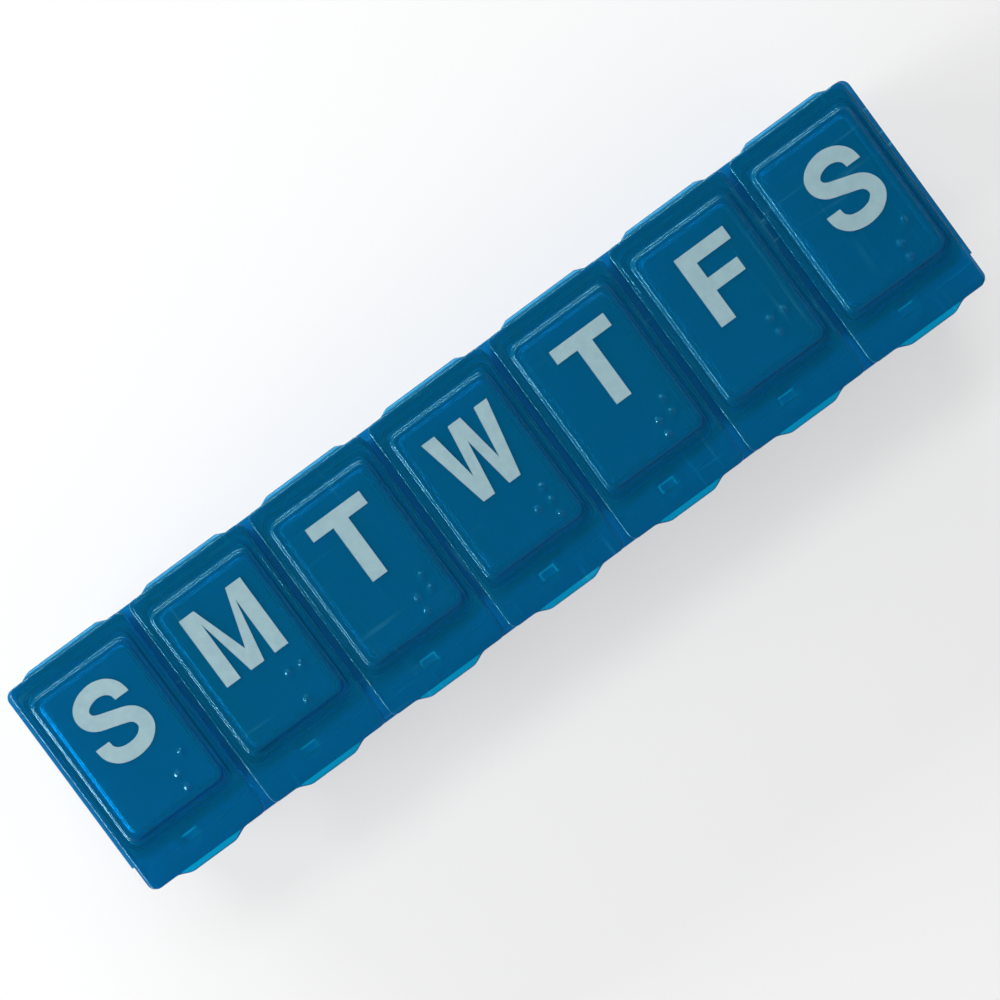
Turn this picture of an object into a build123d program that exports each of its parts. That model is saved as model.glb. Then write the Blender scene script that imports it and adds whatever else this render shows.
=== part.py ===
"""Weekly pill organiser: one moulded tray with seven cups, and a snap lid on a living hinge over each.

Millimetres. X runs along the week, -Y is the front with the thumb tabs, +Y is the hinge side, +Z is up.
The origin is the middle of the footprint, on the surface that the tray stands on.
"""
from build123d import *

import os
from math import pi, radians, tan

# --- driving dimensions -------------------------------------------------------------------------------
days = ["sunday", "monday", "tuesday", "wednesday", "thursday", "friday", "saturday"]

pitch = 23.2            # from one compartment to the next
rim_height = 23.0       # tray's top face above the table
partition = 2.0         # wall between two cups, at the rim
wall = 1.2              # walls of a cup that face outwards
floor = 1.2             # floor of a cup
cup_depth = 31.1        # cup's mouth, front to back
cup_draft = 0.75        # degrees that a cup's front and back walls lean in by, going down
cup_corner = 2.0        # a cup's upright corners
cup_back_round = 2.8    # floor into the back wall
cup_scoop = 6.5         # floor into the front wall, so that a pill can be slid out

flange = 1.2            # thickness of the rim plate
flange_back = 0.4       # rim plate past the cups, at the back
flange_ends = 0.15      # rim plate past the cups, at each end
flange_corner = 1.5     # rim plate's corners in plan
ledge_reach = 5.0       # rim plate past the cups, at the front
ledge_inset = 0.35      # the ledge is this much shorter than the rim, at each end
lip_height = 3.2        # turned-down front edge of the ledge, plate included
lip_wall = 1.0

lid_gap = 1.1           # between two lids
lid_plate = 1.1         # thickness of a lid
lid_corner = 1.3        # lid's corners in plan
lid_edge_chamfer = 0.25  # lid's top edge
lid_seat_gap = 0.1      # under a closed lid
plug_height = 1.8       # ring under the lid that enters the cup
plug_wall = 0.8
plug_clearance = 0.3    # around that ring

panel_side_margin = 1.65   # lid's side edges to the raised panel
panel_back_margin = 3.3    # lid's back edge to the panel
panel_front_margin = 1.7   # panel to the cup's front wall
panel_rise = 1.4
panel_draft = 20.0         # degrees that the panel's sides lean in by
panel_corner = 1.8
panel_wall = 1.3           # panel's foot to the hollow under it
panel_roof = 1.0           # thickness over that hollow
panel_edge_chamfer = 0.4

tab_width = 11.5        # thumb tab at its root
tab_reach = 0.95        # past the lid's front edge
tab_flare = 0.9         # how much narrower the tab's tip is, at each side
tab_round = 0.45

catch_offset = 1.3      # catch and its window sit this far left of the lid's middle
catch_width = 2.4
catch_thickness = 1.3
catch_clearance = 0.35  # from the catch to the window's back and sides
catch_bite = 0.22       # how far the nose reaches under the ledge
catch_slack = 0.1       # between the nose and the ledge's underside
nose_height = 0.9
window_margin = 0.3     # rim plate left between a cup's front wall and the window

web_inset = 2.93        # lid's side edges to the hinge web
web_thickness = 0.35
web_bulge = 0.75        # how far the closed web stands out behind the rim
web_taper = 1.6         # how much shorter the web is at its crown, at each end

# --- places worked out from them ----------------------------------------------------------------------
centres = [(i - (len(days) - 1) / 2) * pitch for i in range(len(days))]

cup_width = pitch - partition
rim_depth = flange_back + wall + cup_depth + wall + ledge_reach
back_edge = (tab_reach + rim_depth - web_bulge) / 2
front_edge = back_edge - rim_depth
cup_back = back_edge - flange_back - wall
cup_front = cup_back - cup_depth
cup_middle = (cup_back + cup_front) / 2
ledge_back = cup_front - wall
rim_half = centres[-1] + cup_width / 2 + wall + flange_ends
ledge_half = rim_half - ledge_inset

lid_width = pitch - lid_gap
lid_bottom = rim_height + lid_seat_gap
lid_top = lid_bottom + lid_plate
panel_back = back_edge - panel_back_margin
panel_front = cup_front + panel_front_margin
panel_middle = (panel_back + panel_front) / 2
panel_width = lid_width - 2 * panel_side_margin
panel_depth = panel_back - panel_front
hollow_rise = lid_plate + panel_rise - panel_roof

window_back = ledge_back - window_margin
catch_back = window_back - catch_clearance
catch_front = catch_back - catch_thickness
nose_top = rim_height - flange - catch_slack

# The web is a half round when its lid is shut and flat when the lid is folded right back. Its middle line
# keeps its length, so the lid turns about a line half that length behind the edges that the web joins.
web_length = lid_width - 2 * web_inset
web_line = pi * (web_bulge - web_thickness / 2)
hinge_y = back_edge + web_line / 2
hinge_z = rim_height


def cup_form(width, back, front, bottom, corner, back_round, front_round):
    """A cup's inner or outer form: its rounded plan carried down, cut to its side profile."""
    lean = (rim_height - bottom) * tan(radians(cup_draft))
    with BuildPart() as form:
        with BuildSketch(Plane.XY.offset(rim_height)):
            with Locations((0, (back + front) / 2)):
                RectangleRounded(width, back - front, corner)
        extrude(amount=bottom - rim_height)
        with BuildSketch(Plane.YZ):
            with BuildLine():
                Polyline(
                    (back, rim_height), (back - lean, bottom), (front + lean, bottom), (front, rim_height), close=True
                )
            make_face()
            fillet(vertices().group_by(Axis.Y)[0].sort_by(Axis.X)[-1], back_round)
            fillet(vertices().group_by(Axis.Y)[0].sort_by(Axis.X)[0], front_round)
        extrude(amount=width, both=True, mode=Mode.INTERSECT)
    return form.part


def make_tray():
    """The one moulding that everything hangs on: seven cups, their rim plate, the ledge and its lip."""
    outside = cup_form(
        width=cup_width + 2 * wall,
        back=cup_back + wall,
        front=ledge_back,
        bottom=0,
        corner=cup_corner + wall,
        back_round=cup_back_round + wall,
        front_round=cup_scoop + wall,
    )
    inside = cup_form(
        width=cup_width,
        back=cup_back,
        front=cup_front,
        bottom=floor,
        corner=cup_corner,
        back_round=cup_back_round,
        front_round=cup_scoop,
    )
    with BuildPart() as tray:
        with Locations([(x, 0) for x in centres]):
            add(outside)
        with BuildSketch(Plane.XY.offset(rim_height - flange)):
            with Locations((0, (back_edge + ledge_back) / 2)):
                Rectangle(2 * rim_half, back_edge - ledge_back)
            with Locations((0, (ledge_back + front_edge) / 2)):
                Rectangle(2 * ledge_half, ledge_back - front_edge)
            fillet(vertices().group_by(Axis.Y)[0] + vertices().group_by(Axis.Y)[-1], flange_corner)
        extrude(amount=flange)
        with BuildSketch(Plane.XY.offset(rim_height - lip_height)):
            with Locations((0, front_edge + lip_wall / 2)):
                Rectangle(2 * (ledge_half - flange_corner), lip_wall)
        extrude(amount=lip_height)
        with Locations([(x, 0) for x in centres]):
            add(inside, mode=Mode.SUBTRACT)
        with BuildSketch(Plane.XY.offset(rim_height)):
            with Locations([(x - catch_offset, (window_back + catch_front) / 2) for x in centres]):
                Rectangle(catch_width + 2 * catch_clearance, window_back - catch_front)
        extrude(amount=-flange, mode=Mode.SUBTRACT)
    return tray.part


def make_lid():
    """A closed lid over the middle compartment: plate, thumb tab, raised panel, plug ring and catch."""
    with BuildPart() as lid:
        with BuildSketch(Plane.XY.offset(lid_bottom)):
            with Locations((0, (back_edge + front_edge) / 2)):
                RectangleRounded(lid_width, rim_depth, lid_corner)
            with BuildLine():
                Polyline(
                    (-tab_width / 2, front_edge + lid_corner),
                    (-tab_width / 2, front_edge),
                    (-tab_width / 2 + tab_flare, front_edge - tab_reach),
                    (tab_width / 2 - tab_flare, front_edge - tab_reach),
                    (tab_width / 2, front_edge),
                    (tab_width / 2, front_edge + lid_corner),
                    close=True,
                )
            make_face()
            fillet(vertices().group_by(Axis.Y)[0], tab_round)
        extrude(amount=lid_plate)
        chamfer(faces().sort_by(Axis.Z)[-1].edges(), lid_edge_chamfer)

        with BuildSketch(Plane.XY.offset(lid_top)):
            with Locations((0, panel_middle)):
                RectangleRounded(panel_width, panel_depth, panel_corner)
        extrude(amount=panel_rise, taper=panel_draft)
        chamfer(faces().sort_by(Axis.Z)[-1].edges(), panel_edge_chamfer)
        with BuildSketch(Plane.XY.offset(lid_bottom)):
            with Locations((0, panel_middle)):
                RectangleRounded(
                    panel_width - 2 * panel_wall, panel_depth - 2 * panel_wall, panel_corner - panel_wall / 2
                )
        extrude(amount=hollow_rise, mode=Mode.SUBTRACT)

        with BuildSketch(Plane.XY.offset(lid_bottom)):
            with Locations((0, cup_middle)):
                plug_width = cup_width - 2 * plug_clearance
                plug_depth = cup_depth - 2 * plug_clearance
                RectangleRounded(plug_width, plug_depth, cup_corner)
                Rectangle(plug_width - 2 * plug_wall, plug_depth - 2 * plug_wall, mode=Mode.SUBTRACT)
        extrude(amount=-plug_height)

        with BuildSketch(Plane.YZ.offset(-catch_offset)):
            with BuildLine():
                Polyline(
                    (catch_back, lid_bottom),
                    (catch_back, nose_top - nose_height),
                    (catch_front, nose_top - nose_height),
                    (catch_front - catch_bite, nose_top - catch_bite),
                    (catch_front - catch_bite, nose_top),
                    (catch_front, nose_top),
                    (catch_front, lid_bottom),
                    close=True,
                )
            make_face()
        extrude(amount=catch_width / 2, both=True)
    return lid.part


def make_hinge_web():
    """The thin flexing strip behind a lid, in the half round that it takes when the lid is shut."""
    with BuildPart() as web:
        with BuildSketch(Plane.YZ):
            with Locations((back_edge, rim_height)):
                Circle(web_bulge)
                Circle(web_bulge - web_thickness, mode=Mode.SUBTRACT)
            with Locations((back_edge - web_bulge, rim_height)):
                Rectangle(2 * web_bulge, 4 * web_bulge, mode=Mode.SUBTRACT)
        extrude(amount=web_length / 2, both=True)
        with BuildSketch(Plane.XY.offset(rim_height)):
            with BuildLine():
                Polyline(
                    (-web_length / 2, back_edge),
                    (-web_length / 2 + web_taper, back_edge + web_bulge),
                    (web_length / 2 - web_taper, back_edge + web_bulge),
                    (web_length / 2, back_edge),
                    close=True,
                )
            make_face()
        extrude(amount=web_bulge, both=True, mode=Mode.INTERSECT)
    return web.part


os.makedirs("parts", exist_ok=True)

tray = make_tray()
tray.label = "tray"
export_step(tray, "parts/tray.step")

for name, shape in (("lid", make_lid()), ("hinge_web", make_hinge_web())):
    for day, x in zip(days, centres):
        with BuildPart() as piece:
            with Locations((x, 0)):
                add(shape)
        piece.part.label = f"{name}_{day}"
        export_step(piece.part, f"parts/{name}_{day}.step")

print(f"rim {2 * rim_half:.2f} x {rim_depth:.2f} mm, lids' axis at y {hinge_y:.3f}, z {hinge_z:.3f} mm")
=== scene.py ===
# %% [markdown]
# # A weekly pill box in see-through blue plastic
# This lesson dresses a finished CAD model. The CAD parts are a fixed frame: the tray and its lids are in
# place already, in metres, with the table at height zero, the week running along X and the hinges at +Y.
# Nothing that is added here is meant to make the object bigger than the frame's own box.

from math import cos, pi, radians, sin, tan

import bpy
import numpy as np
from mathutils import Matrix, Vector


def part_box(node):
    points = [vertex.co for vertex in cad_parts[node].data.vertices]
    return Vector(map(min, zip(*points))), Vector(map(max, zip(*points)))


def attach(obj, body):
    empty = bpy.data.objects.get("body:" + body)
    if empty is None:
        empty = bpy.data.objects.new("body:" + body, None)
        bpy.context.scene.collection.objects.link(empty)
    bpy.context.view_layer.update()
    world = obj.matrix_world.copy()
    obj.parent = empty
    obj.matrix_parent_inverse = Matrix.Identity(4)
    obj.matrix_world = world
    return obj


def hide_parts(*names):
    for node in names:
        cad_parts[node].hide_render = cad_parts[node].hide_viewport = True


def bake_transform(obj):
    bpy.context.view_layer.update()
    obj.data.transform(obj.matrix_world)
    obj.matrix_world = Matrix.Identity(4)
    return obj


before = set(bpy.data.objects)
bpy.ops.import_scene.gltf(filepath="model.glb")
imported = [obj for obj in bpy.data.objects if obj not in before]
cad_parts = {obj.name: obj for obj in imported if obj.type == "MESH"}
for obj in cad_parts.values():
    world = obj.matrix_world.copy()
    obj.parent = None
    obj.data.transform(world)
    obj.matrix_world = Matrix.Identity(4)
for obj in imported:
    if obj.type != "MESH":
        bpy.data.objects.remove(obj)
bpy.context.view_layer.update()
mm = 0.001
days = ["sunday", "monday", "tuesday", "wednesday", "thursday", "friday", "saturday"]

# %% [markdown]
# ## The places that everything else is worked out from
# A piece that is moulded here has to meet the CAD parts, so its places come from the boxes of the nodes that
# it meets. Only the sizes that no box can give, such as a wall's thickness, are written down.

# %% Read the main places off the frame
tray_low, tray_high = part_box("tray")
lid_boxes = [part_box(f"lid_{day}") for day in days]
centres = [(low.x + high.x) / 2 for low, high in lid_boxes]
pitch = (centres[-1] - centres[0]) / (len(days) - 1)
rim = tray_high.z
back_edge, front_edge = tray_high.y, tray_low.y
lid_half = (lid_boxes[0][1].x - lid_boxes[0][0].x) / 2
cad_top = lid_boxes[0][1].z
tab_reach = front_edge - lid_boxes[0][0].y
places = {"pitch": pitch, "rim": rim, "top": cad_top, "half a lid": lid_half}
print("in mm:", {name: round(place / mm, 2) for name, place in places.items()})

# %% [markdown]
# ## Camera
# The picture looks almost straight down from about a forearm's length, with the box lying corner to corner.
# A camera can be placed by three angles, but here it is placed by what it aims at, how far off it is, the
# direction that it stands in and the way the week runs in the picture, which are all things one can see.

# %% Place the camera
aim = Vector((-0.66, -1.80, 24.0)) * mm
distance = 259 * mm
view_angle = radians(33.5)
towards = Vector((0.01072, 0.01658, 1.0)).normalized()
week_slope = radians(36.31)
side = Vector((cos(week_slope), -sin(week_slope), 0))
side = (side - side.dot(towards) * towards).normalized()
up = towards.cross(side)

camera_data = bpy.data.cameras.new("camera")
camera_data.angle = view_angle
camera = bpy.data.objects.new("camera", camera_data)
facing = Matrix((side, up, towards)).transposed().to_4x4()
camera.matrix_world = Matrix.Translation(aim + towards * distance) @ facing
bpy.context.scene.collection.objects.link(camera)
bpy.context.scene.camera = camera
bpy.context.scene.view_settings.view_transform = "Standard"
print("camera at", [round(v / mm, 1) for v in camera.location], "mm")

# %% [markdown]
# ## A helper that turns arrays into a piece
# Every piece made here is computed as whole numpy arrays of points and faces. One helper puts such arrays
# into a mesh, shades it smooth and links it, so that the cells that follow hold nothing but shape.

# %% Put arrays into a mesh
def make_piece(name, points, faces, smooth=True):
    """An object at the origin from an array of points and a list of faces, each a row of point numbers."""
    mesh = bpy.data.meshes.new(name)
    mesh.from_pydata(points.reshape(-1, 3).tolist(), [], [list(map(int, face)) for face in faces])
    mesh.polygons.foreach_set("use_smooth", np.full(len(mesh.polygons), smooth))
    mesh.validate()
    mesh.update()
    piece = bpy.data.objects.new(name, mesh)
    bpy.context.scene.collection.objects.link(piece)
    return piece


def band_faces(rows, count, close_rows=False):
    """Quads between each row of a grid and the next, where every row is a closed loop of count points."""
    first = np.arange(rows if close_rows else rows - 1)[:, None]
    here, there = first * count, (first + 1) % rows * count
    at = np.arange(count)[None, :]
    after = (at + 1) % count
    return np.stack([here + at, there + at, there + after, here + after], axis=-1).reshape(-1, 4)


# %% [markdown]
# ## Loops for a lid
# A lid is a stack of rounded rectangles: its roof, the edges of its raised panel, its plate, and the ring
# underneath that plugs the cup. Each is written as a loop with the same number of points in the same order,
# so that any loop can be joined to any other with plain quads. The front edge has most points, because the
# thumb tab swells out of it.

# %% One rounded rectangle as a loop of points
corner_steps = 7
front_steps, back_steps, side_steps = 96, 36, 44
tab_half = 6.9 * mm
tab_flare = 3.1 * mm


def loop(half, back, front, radius, height, tab=0.0):
    """A rounded rectangle, anticlockwise from its front edge, where y drops by tab times a smooth swell.

    The swell is three times s squared less twice s cubed. Along the tab's flare s climbs from 0 to 1, and
    between its two flares s stays at 1.
    """
    turn = np.linspace(0, pi / 2, corner_steps + 2)[1:-1]
    rise, run = np.sin(turn) * radius, np.cos(turn) * radius
    x_in, low, high = half - radius, front + radius, back - radius
    along = np.linspace(-x_in, x_in, front_steps)
    swell = np.clip((tab_half - np.abs(along)) / tab_flare, 0, 1)
    swell = swell * swell * (3 - 2 * swell)
    up_side = np.linspace(low, high, side_steps)
    xs = [along, x_in + rise, np.full(side_steps, half), x_in + run]
    ys = [front - tab * tab_reach * swell, low - run, up_side, high + rise]
    across = np.linspace(x_in, -x_in, back_steps)
    xs += [across, -x_in - rise, np.full(side_steps, -half), -x_in - run]
    ys += [np.full(back_steps, back), high + run, up_side[::-1], low - rise]
    x, y = np.concatenate(xs), np.concatenate(ys)
    return np.stack([x, y, np.full(len(x), height)], axis=1)


loop_count = len(loop(lid_half, back_edge, front_edge, mm, 0))
print("points in a loop:", loop_count)

# %% [markdown]
# ## The section through a lid
# Plastic is never sharp: a mould leaves a small radius on each edge, and that radius is what catches light.
# So the section is a polyline of insets and heights whose corners are rounded by arcs, and the loops are
# laid along it. A section that changes from the panel's outline to the plate's is blended between the two.

# %% Round the corners of a section
def round_section(points, radii, steps=6):
    """A polyline of (inset, height) whose inner corners become arcs, each tangent to both of its sides."""
    points = [np.array(p, float) for p in points]
    out = [points[0]]
    for before, corner, after, radius in zip(points, points[1:], points[2:], radii):
        a, b = before - corner, after - corner
        a, b = a / np.linalg.norm(a), b / np.linalg.norm(b)
        half = np.arccos(np.clip(a @ b, -1, 1)) / 2
        middle = corner + (a + b) / np.linalg.norm(a + b) * radius / sin(half)
        start, end = corner + a * radius / tan(half), corner + b * radius / tan(half)
        for share in np.linspace(0, 1, steps + 1):
            spoke = (start - middle) * (1 - share) + (end - middle) * share
            out.append(middle + spoke / np.linalg.norm(spoke) * radius)
    return np.array(out + [points[-1]])


# %% [markdown]
# ## The lid's own sizes
# These repeat the CAD lid: a plate with a raised hollow panel, and a ring below that enters the cup. The
# small radii are new, because the CAD lid has plain chamfers there. So are the braille dots, and the roof is
# let down by their height and a little more, so that nothing rises out of the CAD model's box.

# %% Sizes of the lid
plate = 1.1 * mm
dot_height, head_room = 0.36 * mm, 0.16 * mm
roof = cad_top - dot_height - head_room
panel_rise = 1.4 * mm
plate_top = cad_top - panel_rise
plate_bottom = plate_top - plate
roof_thickness = 0.9 * mm
slope_inset = 0.4 * mm
least_radius = 0.15 * mm
# each outline is (half its width, y of its back, y of its front, corner radius)
panel_base = (lid_half - 1.65 * mm, back_edge - 3.3 * mm, front_edge + 7.9 * mm, 1.8 * mm)
plate_base = (lid_half, back_edge, front_edge, 1.3 * mm)
plug_base = (lid_half - 0.75 * mm, back_edge - 1.9 * mm, front_edge + 6.5 * mm, 2.0 * mm)
plug_wall, plug_height = 0.8 * mm, 1.8 * mm
hollow_inset = 1.1 * mm
hollow_base = tuple(np.subtract(panel_base, (hollow_inset, hollow_inset, -hollow_inset, 0.5 * mm)))


def stack(base, section, tab=0.0):
    """One loop for each (inset, height) of a section: the base outline moved inwards by inset, at height."""
    half, back, front, radius = base
    return np.stack(
        [
            loop(half - inset, back - inset, front + inset, max(radius - inset, least_radius), height, tab)
            for inset, height in section
        ]
    )


def between(start, end, steps):
    """The loops that lie evenly between two loops, without those two."""
    share = np.linspace(0, 1, steps + 2)[1:-1, None, None]
    return start[None] * (1 - share) + end[None] * share


# %% [markdown]
# ## Build the stack once
# The roof is covered by many fine loops, a sixth of a millimetre apart, so that the braille dots can be
# raised out of it later. Pressing them out of the same skin, as the mould does, keeps the plastic in one
# piece, where separate domes would show a false layer of air below them.

# %% Loops of a bare lid
roof_inset = slope_inset + 0.35 * mm
roof_reach, roof_steps = 8.6 * mm, 46
flat_steps = 30
roof_section = [(inset, roof) for inset in np.linspace(roof_reach, roof_inset, roof_steps)]
panel_section = round_section(
    [(roof_inset, roof), (slope_inset, roof), (0, plate_top), (-0.6 * mm, plate_top)],
    (0.4 * mm, 0.35 * mm),
)
top_rows = np.concatenate([stack(panel_base, roof_section), stack(panel_base, panel_section[1:])])

edge_section = round_section(
    [(0.6 * mm, plate_top), (0, plate_top), (0, plate_bottom), (0.5 * mm, plate_bottom)],
    (0.35 * mm, 0.15 * mm),
)
edge_rows = stack(plate_base, edge_section, tab=1.0)
flat_rows = between(top_rows[-1], edge_rows[0], flat_steps)

plug_section = round_section(
    [
        (-0.2 * mm, plate_bottom),
        (0, plate_bottom),
        (0, plate_bottom - plug_height),
        (plug_wall, plate_bottom - plug_height),
        (plug_wall, plate_bottom),
        (plug_wall + 0.2 * mm, plate_bottom),
    ],
    (0.15 * mm, 0.3 * mm, 0.3 * mm, 0.15 * mm),
    steps=4,
)
hollow_section = round_section(
    [
        (-0.42 * mm, plate_bottom),
        (0, plate_bottom),
        (slope_inset / 2, roof - roof_thickness),
        (7 * mm, roof - roof_thickness),
    ],
    (0.45 * mm, 0.6 * mm),
    steps=8,
)
lid_rows = np.concatenate(
    [top_rows, flat_rows, edge_rows, stack(plug_base, plug_section), stack(hollow_base, hollow_section)]
)
upper_rows = len(top_rows) + len(flat_rows)
outer_rows = upper_rows + len(edge_rows)
print("loops in a lid:", len(lid_rows), "of which on top:", upper_rows)

# %% [markdown]
# ## What differs from lid to lid
# Each lid has its own braille letter, raised by smooth caps, and a shallow sink mark where the catch pulls
# the skin in as it cools. Moulded sheets are never quite flat either: a few slow sines, a few hundredths of
# a millimetre high, make reflections wander as they do on the real lids.

# %% Relief on the top skin
braille_left = 3.3 * mm
braille_step = 2.5 * mm
braille_top = back_edge - 23.55 * mm
dot_radius = 0.76 * mm
braille = {"S": (2, 3, 4), "M": (1, 3, 4), "T": (2, 3, 4, 5), "W": (2, 4, 5, 6), "F": (1, 2, 4)}
catch_offset = -1.3 * mm
sink_at = (catch_offset, front_edge + 3.9 * mm)
sink_radius, sink_depth = 1.9 * mm, 0.16 * mm
ring_height, ring_place, ring_spread = 0.05 * mm, 1.15, 0.22
wave_height = 0.012 * mm
long_wave, cross_wave, short_wave = (4.1 * mm, 9.0 * mm), (5.3 * mm, 11 * mm), 3.1 * mm
phase_step = 1.7


def dot_places(letter):
    """Centres of a letter's dots: 1 to 3 run down the left column and 4 to 6 down the right."""
    dots = np.array(braille[letter]) - 1
    return np.stack([braille_left + dots // 3 * braille_step, braille_top - dots % 3 * braille_step], axis=1)


def relief(x, y, letter, phase):
    """Height added to the top skin: smooth caps, a ringed dip, and three slow crossing sines.

    A cap is the dot's height times the square of one less reach squared. The dip is the depth times a
    squared cosine, and the ring round it a bell curve of reach.
    """
    height = np.zeros_like(x)
    for dot_x, dot_y in dot_places(letter):
        reach = np.clip(np.hypot(x - dot_x, y - dot_y) / dot_radius, 0, 1)
        height += dot_height * (1 - reach**2) ** 2
    reach = np.hypot(x - sink_at[0], y - sink_at[1]) / sink_radius
    height -= sink_depth * np.cos(np.clip(reach, 0, 1) * pi / 2) ** 2 * (np.abs(reach) < 1)
    height += ring_height * np.exp(-(((reach - ring_place) / ring_spread) ** 2))
    waves = np.sin(x / long_wave[0] + y / long_wave[1] + phase)
    waves += np.sin(y / cross_wave[0] - x / cross_wave[1] + 2 * phase)
    return height + wave_height * (waves + np.sin((x + y) / short_wave + 3 * phase))


# %% [markdown]
# ## The catch
# A small tooth hangs below each lid, drops through a window in the ledge and hooks under it. It is a short
# bar with a nose at its foot, drawn as its side view and carried across its width. It starts a hundredth of
# a millimetre below the plate, because two skins in one place would fight over which of them is seen.

# %% Side view of the catch, carried across
catch_width = 2.4 * mm
catch_back = front_edge + 4.35 * mm
catch_front = catch_back - 1.3 * mm
catch_bite = 0.22 * mm
nose_top = rim - 1.3 * mm
nose_foot = nose_top - 0.9 * mm
catch_root = plate_bottom - 0.01 * mm
catch_view = np.array(
    [
        (catch_back, catch_root),
        (catch_back, nose_foot),
        (catch_front, nose_foot),
        (catch_front - catch_bite, nose_top - catch_bite),
        (catch_front - catch_bite, nose_top),
        (catch_front, nose_top),
        (catch_front, catch_root),
    ]
)


def catch_points():
    """The side view at both ends of the catch's width."""
    ends = np.array([-0.5, 0.5]) * catch_width + catch_offset
    view = np.broadcast_to(catch_view, (2, *catch_view.shape))
    across = np.broadcast_to(ends[:, None, None], (2, len(catch_view), 1))
    return np.concatenate([across, view], axis=2)


# %% Faces of a lid
start, size = len(lid_rows) * loop_count, len(catch_view)
catch_faces = size + 2
lid_faces = band_faces(len(lid_rows), loop_count).tolist()
lid_faces += [list(range(loop_count)), list(range(start - 1, start - 1 - loop_count, -1))]
lid_faces += (band_faces(2, size) + start).tolist()
lid_faces += [list(range(start, start + size)), list(range(start + 2 * size - 1, start + size - 1, -1))]
matt = np.zeros(start + 2 * size)
matt[outer_rows * loop_count :] = 1
print("faces in a lid:", len(lid_faces), "of which in its catch:", catch_faces)

# %% Make the seven lids
letters = [day[0].upper() for day in days]
lids = []
for number, (day, letter, centre) in enumerate(zip(days, letters, centres)):
    rows = lid_rows.copy()
    top = rows[:upper_rows]
    top[..., 2] += relief(top[..., 0], top[..., 1], letter, phase_step * number)
    points = np.concatenate([rows.reshape(-1, 3), catch_points().reshape(-1, 3)]) + (centre, 0, 0)
    lid = make_piece(f"lid_skin_{day}", points, lid_faces)
    for face in list(lid.data.polygons)[-catch_faces:]:
        face.use_smooth = False
    lid.data.attributes.new("matt", "FLOAT", "POINT").data.foreach_set("value", matt)
    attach(lid, f"lid_{day}")
    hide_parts(f"lid_{day}")
    lids.append(lid)
print("lids:", [lid.name for lid in lids])

# %% [markdown]
# ## Living hinges
# Behind each lid a thin web joins it to the tray. Shut, it stands out as a half round, and its ends are drawn
# in, so that it looks like a lens from above. It is made in its shut shape and rides on neither body.

# %% Web as a half round carried along the lid
web_length = 2 * (lid_half - 2.93 * mm)
web_bulge, web_thickness = 0.75 * mm, 0.35 * mm
web_taper = 1.6 * mm
web_arc, web_cuts = 32, 28


def web_points(centre):
    """A half ring in the YZ plane, carried along X by a length that shrinks away from the lid."""
    turn = np.linspace(-pi / 2, pi / 2, web_arc + 1)
    radius = np.array([web_bulge, web_bulge - web_thickness])[:, None]
    out, high = np.cos(turn) * radius, np.sin(turn) * radius
    out = np.concatenate([out[0], out[1][::-1]])
    high = np.concatenate([high[0], high[1][::-1]])
    share = np.linspace(-1, 1, web_cuts + 1)[:, None]
    x = centre + share * (web_length / 2 - web_taper * out / web_bulge)
    y = np.broadcast_to(back_edge + out, x.shape)
    z = np.broadcast_to(rim + high, x.shape)
    return np.stack([x, y, z], axis=-1)


def web_faces():
    """The skin between cuts, and at each end a row of quads from the outer arc to the inner one."""
    count = 2 * (web_arc + 1)
    step = np.arange(web_arc)
    cap = np.stack([step, step + 1, count - 2 - step, count - 1 - step], axis=1)
    far = (cap + web_cuts * count)[:, ::-1]
    return np.concatenate([band_faces(web_cuts + 1, count), cap, far])[:, ::-1]


webs = []
for day, centre in zip(days, centres):
    web = make_piece(f"hinge_skin_{day}", web_points(centre), web_faces())
    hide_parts(f"hinge_web_{day}")
    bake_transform(web)
    webs.append(web)
print("hinge webs:", len(webs))

# %% [markdown]
# ## Day letters
# The letters are flat white ink with clean edges, in a plain bold sans. A font could supply them, but each
# is only a few straight strokes, so they are drawn here from their own heights and stroke widths. The S is a
# centre line through a handful of points, thickened to both sides. The ink is a film a few hundredths of a
# millimetre thick that lies on the roof.

# %% Outlines of the straight letters
cap_height = 12.7 * mm
stem, bar = 2.6 * mm, 2.35 * mm


def letter_t():
    """A bar over a stem."""
    half, mid = 5.2 * mm, 1.42 * mm
    right = [(half, 0), (half, -bar), (mid, -bar), (mid, -cap_height)]
    return [(-x, y) for x, y in reversed(right)] + right


def letter_f():
    """A stem with a long bar on top and a shorter one below it."""
    left, top_right, mid_right = -4.65 * mm, 4.65 * mm, 3.7 * mm
    inner, mid_top = left + 2.75 * mm, -5.2 * mm
    return [
        (left, -cap_height),
        (left, 0),
        (top_right, 0),
        (top_right, -bar),
        (inner, -bar),
        (inner, mid_top),
        (mid_right, mid_top),
        (mid_right, mid_top - bar),
        (inner, mid_top - bar),
        (inner, -cap_height),
    ]


def letter_m():
    """Two stems, and a V between them that reaches the foot of the letter."""
    half, foot = 5.9 * mm, 1.27 * mm
    shoulder, notch, crotch = 3.05 * mm, -9.45 * mm, -2.35 * mm
    right = [(0, notch), (shoulder, 0), (half, 0), (half, -cap_height), (half - stem, -cap_height)]
    right += [(half - stem, crotch), (foot, -cap_height)]
    return right + [(-x, y) for x, y in reversed(right[1:])]


def letter_w():
    """Four slanted strokes that share two feet and a middle peak."""
    half, peak, shoulder = 6.28 * mm, 1.2 * mm, 3.8 * mm
    notch_x, notch, foot_in, foot_out, crotch = 2.5 * mm, -8.55 * mm, 1.37 * mm, 3.55 * mm, -3.6 * mm
    right = [(0, crotch), (foot_in, -cap_height), (foot_out, -cap_height), (half, 0), (shoulder, 0)]
    right += [(notch_x, notch), (peak, 0)]
    return right + [(-x, y) for x, y in reversed(right[1:])]


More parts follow.
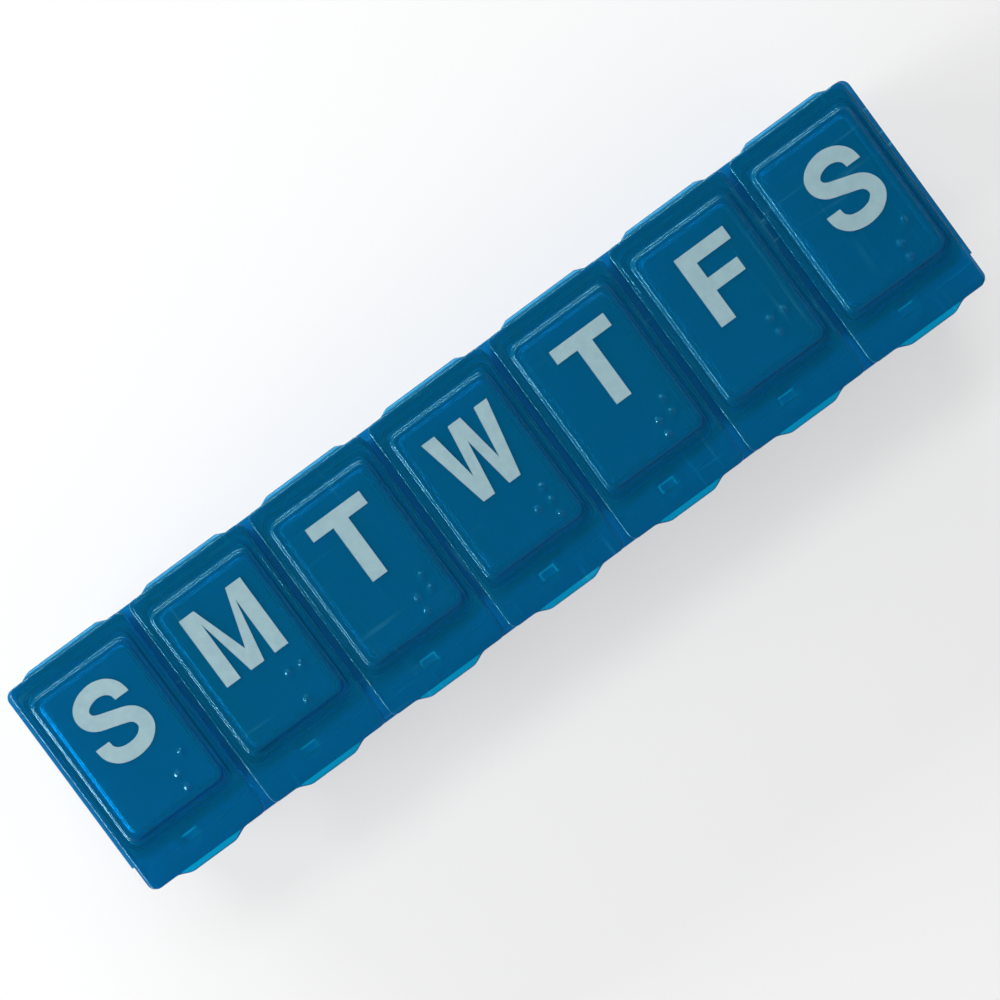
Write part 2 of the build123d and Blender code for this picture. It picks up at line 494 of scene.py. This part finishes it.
# %% The S, as a thickened centre line
s_spine = 0.975 * np.array(
    [
        (3.6, -4.3), (3.15, -2.7), (1.9, -1.55), (0.0, -1.12), (-2.1, -1.6), (-3.45, -2.75), (-3.6, -4.3),
        (-2.55, -5.55), (0.0, -6.45), (2.8, -7.45), (3.95, -8.9), (3.85, -10.6), (2.3, -12.0), (-0.1, -12.45),
        (-2.3, -11.95), (-3.55, -10.7), (-3.9, -9.1),
    ]
) * mm
s_stroke = 2.55 * mm


def smooth_line(points, steps=8):
    """A curve through all points: each piece is the cubic that leaves along its neighbours' chord."""
    ends = np.concatenate([[2 * points[0] - points[1]], points, [2 * points[-1] - points[-2]]])
    a, b, c, d = (ends[k : len(ends) - 3 + k, None] for k in range(4))
    t = np.linspace(0, 1, steps, endpoint=False)[None, :, None]
    bend = 2 * b + (c - a) * t + (2 * a - 5 * b + 4 * c - d) * t**2 + (3 * b - a - 3 * c + d) * t**3
    return np.concatenate([(bend / 2).reshape(-1, 2), points[-1:]])


def letter_s():
    """The spine moved to both sides by half a stroke, with both ends cut level."""
    spine = smooth_line(s_spine)
    along = np.gradient(spine, axis=0)
    across = np.stack([-along[:, 1], along[:, 0]], axis=1) / np.linalg.norm(along, axis=1)[:, None]
    left, right = spine + across * s_stroke / 2, spine - across * s_stroke / 2
    for end in (0, -1):
        left[end, 1] = right[end, 1] = spine[end, 1]
    return np.concatenate([left, right[::-1]]).tolist()


# %% [markdown]
# ## Lay the ink on the lids
# A film is a prism: the outline at the roof, the same outline a little higher, and walls between. It is
# turned to run anticlockwise first, so that its faces point outwards whichever way it was drawn.

# %% Make the seven letters
draw = {"S": letter_s, "M": letter_m, "T": letter_t, "W": letter_w, "F": letter_f}
letter_shift = np.array([0.15, 0.18, 0.53, 0.73, 0.96, 1.13, 1.30]) * mm
letter_drop = np.array([6.75, 7.05, 7.2, 7.35, 7.4, 7.45, 7.35]) * mm
ink_gap, ink_thickness = 0.04 * mm, 0.03 * mm


def film(outline, x, y, z, thickness):
    """Points and faces of a flat prism over an outline: its underside, its top, and quads between them."""
    flat = np.array(outline, float)
    turned = np.roll(flat, -1, axis=0)
    if np.sum(flat[:, 0] * turned[:, 1] - turned[:, 0] * flat[:, 1]) < 0:
        flat = flat[::-1]
    low = np.column_stack([flat + (x, y), np.full(len(flat), z)])
    count = len(flat)
    walls = band_faces(2, count)[:, ::-1].tolist()
    caps = [list(range(count))[::-1], list(range(count, 2 * count))]
    return np.concatenate([low, low + (0, 0, thickness)]), walls + caps


inks = []
for day, letter, centre, shift, drop in zip(days, letters, centres, letter_shift, letter_drop):
    place = (centre + shift, back_edge - drop, roof + ink_gap)
    ink = make_piece(f"letter_{day}", *film(draw[letter](), *place, ink_thickness), smooth=False)
    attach(ink, f"lid_{day}")
    inks.append(ink)
print("letters:", "".join(letters), "spread over", round((letter_shift[-1] - letter_shift[0]) / mm, 2), "mm")

# %% [markdown]
# ## Finishes
# The box is polypropylene: clear enough to see the cups through the lids, but slightly clouded. Two things
# colour it. The skin tints a little at each face, and the plastic takes red and green out of light that
# goes through it, so thick walls and edges turn deep blue on their own. Fine moulding texture and scuffs
# are wanted by tray, lids and webs alike, so they are one node group with its own inputs.

# %% A node group for moulded, handled plastic
wave_bump, grain_bump = 0.06 * mm, 0.002 * mm
cloud_share, matt_roughness = 0.45, 0.5
group_inputs = {"Smooth": 0.1, "Scuffed": 0.3, "Grain": 0.1, "Waves": 0.3, "Matt": 0.0}


def add_node(tree, kind, **settings):
    """A node of that kind, with plain settings given by name."""
    node = tree.nodes.new(kind)
    for key, value in settings.items():
        setattr(node, key, value)
    return node


def moulded_group():
    """Roughness and a normal from slow clouds in the melt, fine grain, and scuffs drawn as stretched noise.

    Roughness goes from smooth to scuffed by the greater of scuffs and a share of the clouds, and is never
    below the matt floor where matt is 1.
    """
    group = bpy.data.node_groups.new("moulded_surface", "ShaderNodeTree")
    for label, value in group_inputs.items():
        socket = group.interface.new_socket(label, in_out="INPUT", socket_type="NodeSocketFloat")
        socket.default_value = value
    group.interface.new_socket("Roughness", in_out="OUTPUT", socket_type="NodeSocketFloat")
    group.interface.new_socket("Normal", in_out="OUTPUT", socket_type="NodeSocketVector")
    group.interface.new_socket("Scuffs", in_out="OUTPUT", socket_type="NodeSocketFloat")
    inside = add_node(group, "NodeGroupInput")
    outside = add_node(group, "NodeGroupOutput")
    where = add_node(group, "ShaderNodeTexCoord")

    def noise(scale, detail, stretch=None, turn=0.0):
        found = add_node(group, "ShaderNodeTexNoise")
        found.inputs["Scale"].default_value = scale
        found.inputs["Detail"].default_value = detail
        if stretch is None:
            group.links.new(where.outputs["Object"], found.inputs["Vector"])
            return found.outputs["Fac"]
        mapping = add_node(group, "ShaderNodeMapping")
        mapping.inputs["Scale"].default_value = stretch
        mapping.inputs["Rotation"].default_value = (0, 0, turn)
        group.links.new(where.outputs["Object"], mapping.inputs["Vector"])
        group.links.new(mapping.outputs["Vector"], found.inputs["Vector"])
        return found.outputs["Fac"]

    def sharpen(source, low, high):
        ramp = add_node(group, "ShaderNodeMapRange", clamp=True)
        ramp.inputs["From Min"].default_value = low
        ramp.inputs["From Max"].default_value = high
        group.links.new(source, ramp.inputs["Value"])
        return ramp.outputs["Result"]

    def combine(operation, first, second):
        node = add_node(group, "ShaderNodeMath", operation=operation)
        for socket, value in zip(node.inputs, (first, second)):
            if isinstance(value, float):
                socket.default_value = value
            else:
                group.links.new(value, socket)
        return node.outputs["Value"]

    clouds = noise(scale=110, detail=3.0)
    grain = noise(scale=2600, detail=2.0)
    one_way = noise(scale=900, detail=1.0, stretch=(0.06, 1.0, 0.5), turn=0.5)
    one_way = sharpen(one_way, low=0.66, high=0.74)
    other_way = noise(scale=760, detail=1.0, stretch=(1.0, 0.05, 0.5), turn=0.35)
    other_way = sharpen(other_way, low=0.67, high=0.75)
    handled = sharpen(noise(scale=60, detail=2.0), low=0.42, high=0.66)
    scuffs = combine("MULTIPLY", combine("MAXIMUM", one_way, other_way), handled)

    mix = add_node(group, "ShaderNodeMapRange", clamp=True)
    wear = combine("MAXIMUM", scuffs, combine("MULTIPLY", clouds, cloud_share))
    group.links.new(wear, mix.inputs["Value"])
    group.links.new(inside.outputs["Smooth"], mix.inputs["To Min"])
    group.links.new(inside.outputs["Scuffed"], mix.inputs["To Max"])
    matt_floor = combine("MULTIPLY", inside.outputs["Matt"], matt_roughness)
    group.links.new(combine("MAXIMUM", mix.outputs["Result"], matt_floor), outside.inputs["Roughness"])
    group.links.new(scuffs, outside.inputs["Scuffs"])

    waves = add_node(group, "ShaderNodeBump")
    waves.inputs["Distance"].default_value = wave_bump
    group.links.new(inside.outputs["Waves"], waves.inputs["Strength"])
    group.links.new(clouds, waves.inputs["Height"])
    fine = add_node(group, "ShaderNodeBump")
    fine.inputs["Distance"].default_value = grain_bump
    group.links.new(inside.outputs["Grain"], fine.inputs["Strength"])
    group.links.new(combine("SUBTRACT", grain, scuffs), fine.inputs["Height"])
    group.links.new(waves.outputs["Normal"], fine.inputs["Normal"])
    group.links.new(fine.outputs["Normal"], outside.inputs["Normal"])
    return group


surface_group = moulded_group()
print("group outputs:", [item.name for item in surface_group.interface.items_tree if item.in_out == "OUTPUT"])

# %% [markdown]
# ## The blue plastic
# One function makes all three plastics. Glass is kept as a plain number, because light has to pass the
# whole surface alike; the volume's colour and density then set how deep the blue gets with thickness. The
# highlights are tinted as well, because an untinted one on so saturated a blue comes out lilac.

# %% Blue, and its two relatives
refraction = 1.49
gleam = (0.2, 0.75, 1.0)
depth_colour = (0.0, 0.8, 0.95)


def plastic(name, skin, worn, density, clear, **surface_values):
    """See-through plastic: a tinted skin, paler where it is scuffed, over a volume that takes red first."""
    material = bpy.data.materials.new(name)
    material.use_nodes = True
    tree = material.node_tree
    shader = tree.nodes["Principled BSDF"]
    output = tree.nodes["Material Output"]
    surface = add_node(tree, "ShaderNodeGroup", node_tree=surface_group)
    for label, value in surface_values.items():
        surface.inputs[label.capitalize()].default_value = value
    inner = add_node(tree, "ShaderNodeAttribute", attribute_name="matt")
    tree.links.new(inner.outputs["Fac"], surface.inputs["Matt"])
    tint = add_node(tree, "ShaderNodeMix", data_type="RGBA")
    tint.inputs["A"].default_value = (*skin, 1)
    tint.inputs["B"].default_value = (*worn, 1)
    tree.links.new(surface.outputs["Scuffs"], tint.inputs["Factor"])
    tree.links.new(tint.outputs["Result"], shader.inputs["Base Color"])
    tree.links.new(surface.outputs["Roughness"], shader.inputs["Roughness"])
    tree.links.new(surface.outputs["Normal"], shader.inputs["Normal"])
    shader.inputs["IOR"].default_value = refraction
    shader.inputs["Specular Tint"].default_value = (*gleam, 1)
    shader.inputs["Transmission Weight"].default_value = clear
    absorb = add_node(tree, "ShaderNodeVolumeAbsorption")
    absorb.inputs["Color"].default_value = (*depth_colour, 1)
    absorb.inputs["Density"].default_value = density
    tree.links.new(absorb.outputs["Volume"], output.inputs["Volume"])
    return material


# painted shade: tray, lids and hinges are one plastic, but the tray's skin is set darker than the lids' to
# stand in for the shaded ground under the box seen through its ledge, the hinges' is darker to damp the glare
# on their rounds, and the lids' is also partly darkened for the shade seen through the tabs
shaded_tray_skin, lid_skin, hinge_skin = (0.003, 0.27, 0.6), (0.003, 0.44, 0.7), (0.003, 0.24, 0.5)
blue_worn, hinge_worn = (0.06, 0.62, 0.85), (0.02, 0.4, 0.65)
tray_look = dict(smooth=0.3, scuffed=0.45, grain=0.3, waves=0.4)
lid_look = dict(smooth=0.02, scuffed=0.14, grain=0.2, waves=0.25)
hinge_look = dict(smooth=0.12, scuffed=0.3, grain=0.6, waves=0.6)
tray_plastic = plastic("tray_plastic", shaded_tray_skin, blue_worn, density=1000, clear=0.58, **tray_look)
lid_plastic = plastic("lid_plastic", lid_skin, blue_worn, density=1000, clear=0.86, **lid_look)
hinge_plastic = plastic("hinge_plastic", hinge_skin, hinge_worn, density=900, clear=0.45, **hinge_look)
print("plastics:", [material.name for material in (tray_plastic, lid_plastic, hinge_plastic)])

# %% [markdown]
# ## The ink
# Printed ink is thin and flat, and its face is never perfectly even, because the pad leaves it slightly
# mottled. It is dull beside the glossy plastic.

# %% White ink
ink_dark, ink_pale = (0.24, 0.375, 0.42, 1), (0.28, 0.42, 0.46, 1)
mottle_scale = 700


def ink_material():
    """Dull pale ink, its colour and its face mottled by the same noise."""
    material = bpy.data.materials.new("white_ink")
    material.use_nodes = True
    tree = material.node_tree
    shader = tree.nodes["Principled BSDF"]
    where = add_node(tree, "ShaderNodeTexCoord")
    mottle = add_node(tree, "ShaderNodeTexNoise")
    mottle.inputs["Scale"].default_value = mottle_scale
    mottle.inputs["Detail"].default_value = 4
    tree.links.new(where.outputs["Object"], mottle.inputs["Vector"])
    colour = add_node(tree, "ShaderNodeValToRGB")
    for stop, position, ink_colour in zip(colour.color_ramp.elements, (0.3, 0.7), (ink_dark, ink_pale)):
        stop.position, stop.color = position, ink_colour
    tree.links.new(mottle.outputs["Fac"], colour.inputs["Fac"])
    tree.links.new(colour.outputs["Color"], shader.inputs["Base Color"])
    bump = add_node(tree, "ShaderNodeBump")
    bump.inputs["Strength"].default_value = 0.15
    bump.inputs["Distance"].default_value = 0.02 * mm
    tree.links.new(mottle.outputs["Fac"], bump.inputs["Height"])
    tree.links.new(bump.outputs["Normal"], shader.inputs["Normal"])
    shader.inputs["Roughness"].default_value = 0.42
    return material


white_ink = ink_material()


# %% Dress the pieces
def dress(objects, material):
    """Each object gets this one material and no other."""
    for item in objects:
        item.data.materials.clear()
        item.data.materials.append(material)


dress([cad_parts["tray"]], tray_plastic)
dress(lids, lid_plastic)
dress(webs, hinge_plastic)
dress(inks, white_ink)
print("materials:", [m.name for m in (tray_plastic, lid_plastic, hinge_plastic, white_ink)])

# %% [markdown]
# ## Floor and light
# The box stands on a plain white sweep. White paint would throw so much light up through the blue that it
# turned pale, so the paint is grey and shines a little for the rays that see it, straight, mirrored or
# through the plastic: it looks white, and it still takes a faint shadow. Seen from above, the flat lids
# mirror whatever hangs overhead, so nothing bright does. Long low panels at the left and behind rake across
# the box, and a narrow one at the left draws the thin bright lines along the panels' edges.

# %% Floor
floor_half, floor_drop = 1.5, 0.05 * mm
floor_grey, floor_lift = 0.38, 0.5


def floor_paint():
    """Dull grey paint whose glow is the lift times the greatest of three: seen, mirrored or seen through."""
    material = bpy.data.materials.new("floor_paint")
    material.use_nodes = True
    tree = material.node_tree
    shader = tree.nodes["Principled BSDF"]
    shader.inputs["Base Color"].default_value = (floor_grey, floor_grey, floor_grey, 1)
    shader.inputs["Roughness"].default_value = 0.9
    shader.inputs["Specular IOR Level"].default_value = 0.2
    shader.inputs["Emission Color"].default_value = (1, 1, 1, 1)
    rays = add_node(tree, "ShaderNodeLightPath")
    seen = rays.outputs["Is Camera Ray"]
    for kind in ("Is Glossy Ray", "Is Transmission Ray"):
        either = add_node(tree, "ShaderNodeMath", operation="MAXIMUM")
        tree.links.new(seen, either.inputs[0])
        tree.links.new(rays.outputs[kind], either.inputs[1])
        seen = either.outputs["Value"]
    lift = add_node(tree, "ShaderNodeMath", operation="MULTIPLY")
    lift.inputs[1].default_value = floor_lift
    tree.links.new(seen, lift.inputs[0])
    tree.links.new(lift.outputs["Value"], shader.inputs["Emission Strength"])
    return material


floor_points = np.array([(-1, -1, 0), (1, -1, 0), (1, 1, 0), (-1, 1, 0)]) * floor_half - (0, 0, floor_drop)
floor = make_piece("floor", floor_points, [(0, 1, 2, 3)], smooth=False)
dress([floor], floor_paint())
print("floor is", 2 * floor_half, "m wide")

# %% The sky over the sweep
ring_stops = ((0.1, 0.02), (0.25, 0.22), (0.78, 0.22), (0.9, 0.05))


def studio_world():
    """Light by the height of the direction: dark at the horizon, a pale ring above it, and dim overhead."""
    world = bpy.data.worlds.new("studio")
    world.use_nodes = True
    tree = world.node_tree
    where = add_node(tree, "ShaderNodeTexCoord")
    split = add_node(tree, "ShaderNodeSeparateXYZ")
    rings = add_node(tree, "ShaderNodeValToRGB")
    stops = rings.color_ramp.elements
    for place, _ in ring_stops[1:-1]:
        stops.new(place)
    for stop, (place, grey) in zip(stops, ring_stops):
        stop.position, stop.color = place, (grey, grey, grey, 1)
    tree.links.new(where.outputs["Generated"], split.inputs["Vector"])
    tree.links.new(split.outputs["Z"], rings.inputs["Fac"])
    tree.links.new(rings.outputs["Color"], tree.nodes["Background"].inputs["Color"])
    return world


bpy.context.scene.world = studio_world()
print("sky by height and grey:", ring_stops)


# %% Panel lights
def panel_light(name, azimuth, elevation, reach, width, height, power):
    """A soft rectangular lamp on a sphere round the object, turned to face it."""
    a, e = radians(azimuth), radians(elevation)
    away = Vector((sin(a) * cos(e), -cos(a) * cos(e), sin(e)))
    data = bpy.data.lights.new(name, "AREA")
    data.shape = "RECTANGLE"
    data.size, data.size_y = width, height
    data.energy = power
    lamp = bpy.data.objects.new(name, data)
    lamp.location = away * reach
    lamp.rotation_mode = "QUATERNION"
    lamp.rotation_quaternion = away.to_track_quat("Z", "Y")
    bpy.context.scene.collection.objects.link(lamp)


# each lamp: azimuth from the front and elevation in degrees, reach, width and height in metres, watts
lamps = {
    "key_left": (-109, 36, 0.8, 0.4, 0.07, 2.2),
    "left_low": (-90, 14, 0.9, 0.6, 0.25, 9),
    "back_low": (180, 18, 0.9, 0.9, 0.2, 9),
    "back_high": (180, 57, 0.9, 0.6, 0.2, 1.7),
    "fill_front": (20, 38, 1.0, 0.9, 0.6, 1.1),
    "fill_right": (95, 38, 1.1, 0.8, 0.6, 1.3),
}
for name, lamp in lamps.items():
    panel_light(name, *lamp)
print("lamps:", ", ".join(lamps))
